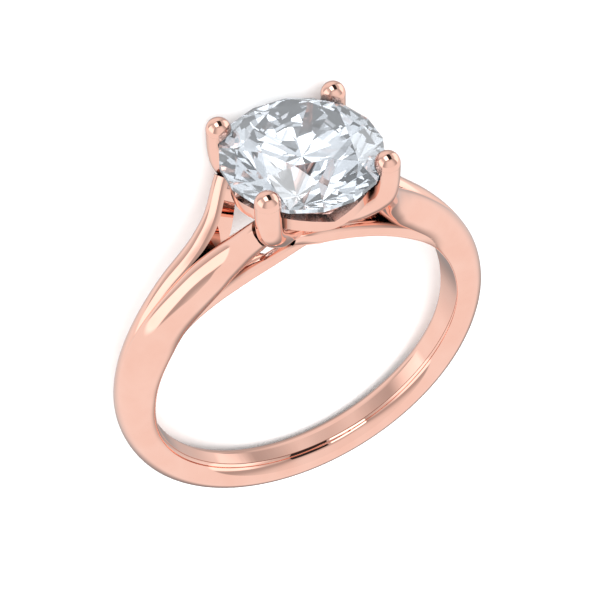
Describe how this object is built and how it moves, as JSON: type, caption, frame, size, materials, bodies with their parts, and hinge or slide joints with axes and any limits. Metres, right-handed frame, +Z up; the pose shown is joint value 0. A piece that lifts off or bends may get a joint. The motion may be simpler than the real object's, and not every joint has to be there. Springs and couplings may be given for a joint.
{
  "type": "solitaire engagement ring",
  "caption": "Solitaire engagement ring: a rose-gold wire with split shoulders, a claw head on a low gallery rail and a round brilliant, lying on its side and open for a finger.",
  "frame": {"origin": "on the table under the middle of the ring's outline, as it lies on its side", "axes": "+Y from the bottom of the band to the stone, +X across the band, +Z up from the table, nearly along the finger hole"},
  "size_m": [0.02, 0.024, 0.007],
  "materials": {
    "rose_gold": "polished rose gold",
    "diamond": "cut and polished facets"
  },
  "bodies": {
    "root": {"mounting": "rose_gold", "diamond": "diamond"}
  },
  "joints": []
}
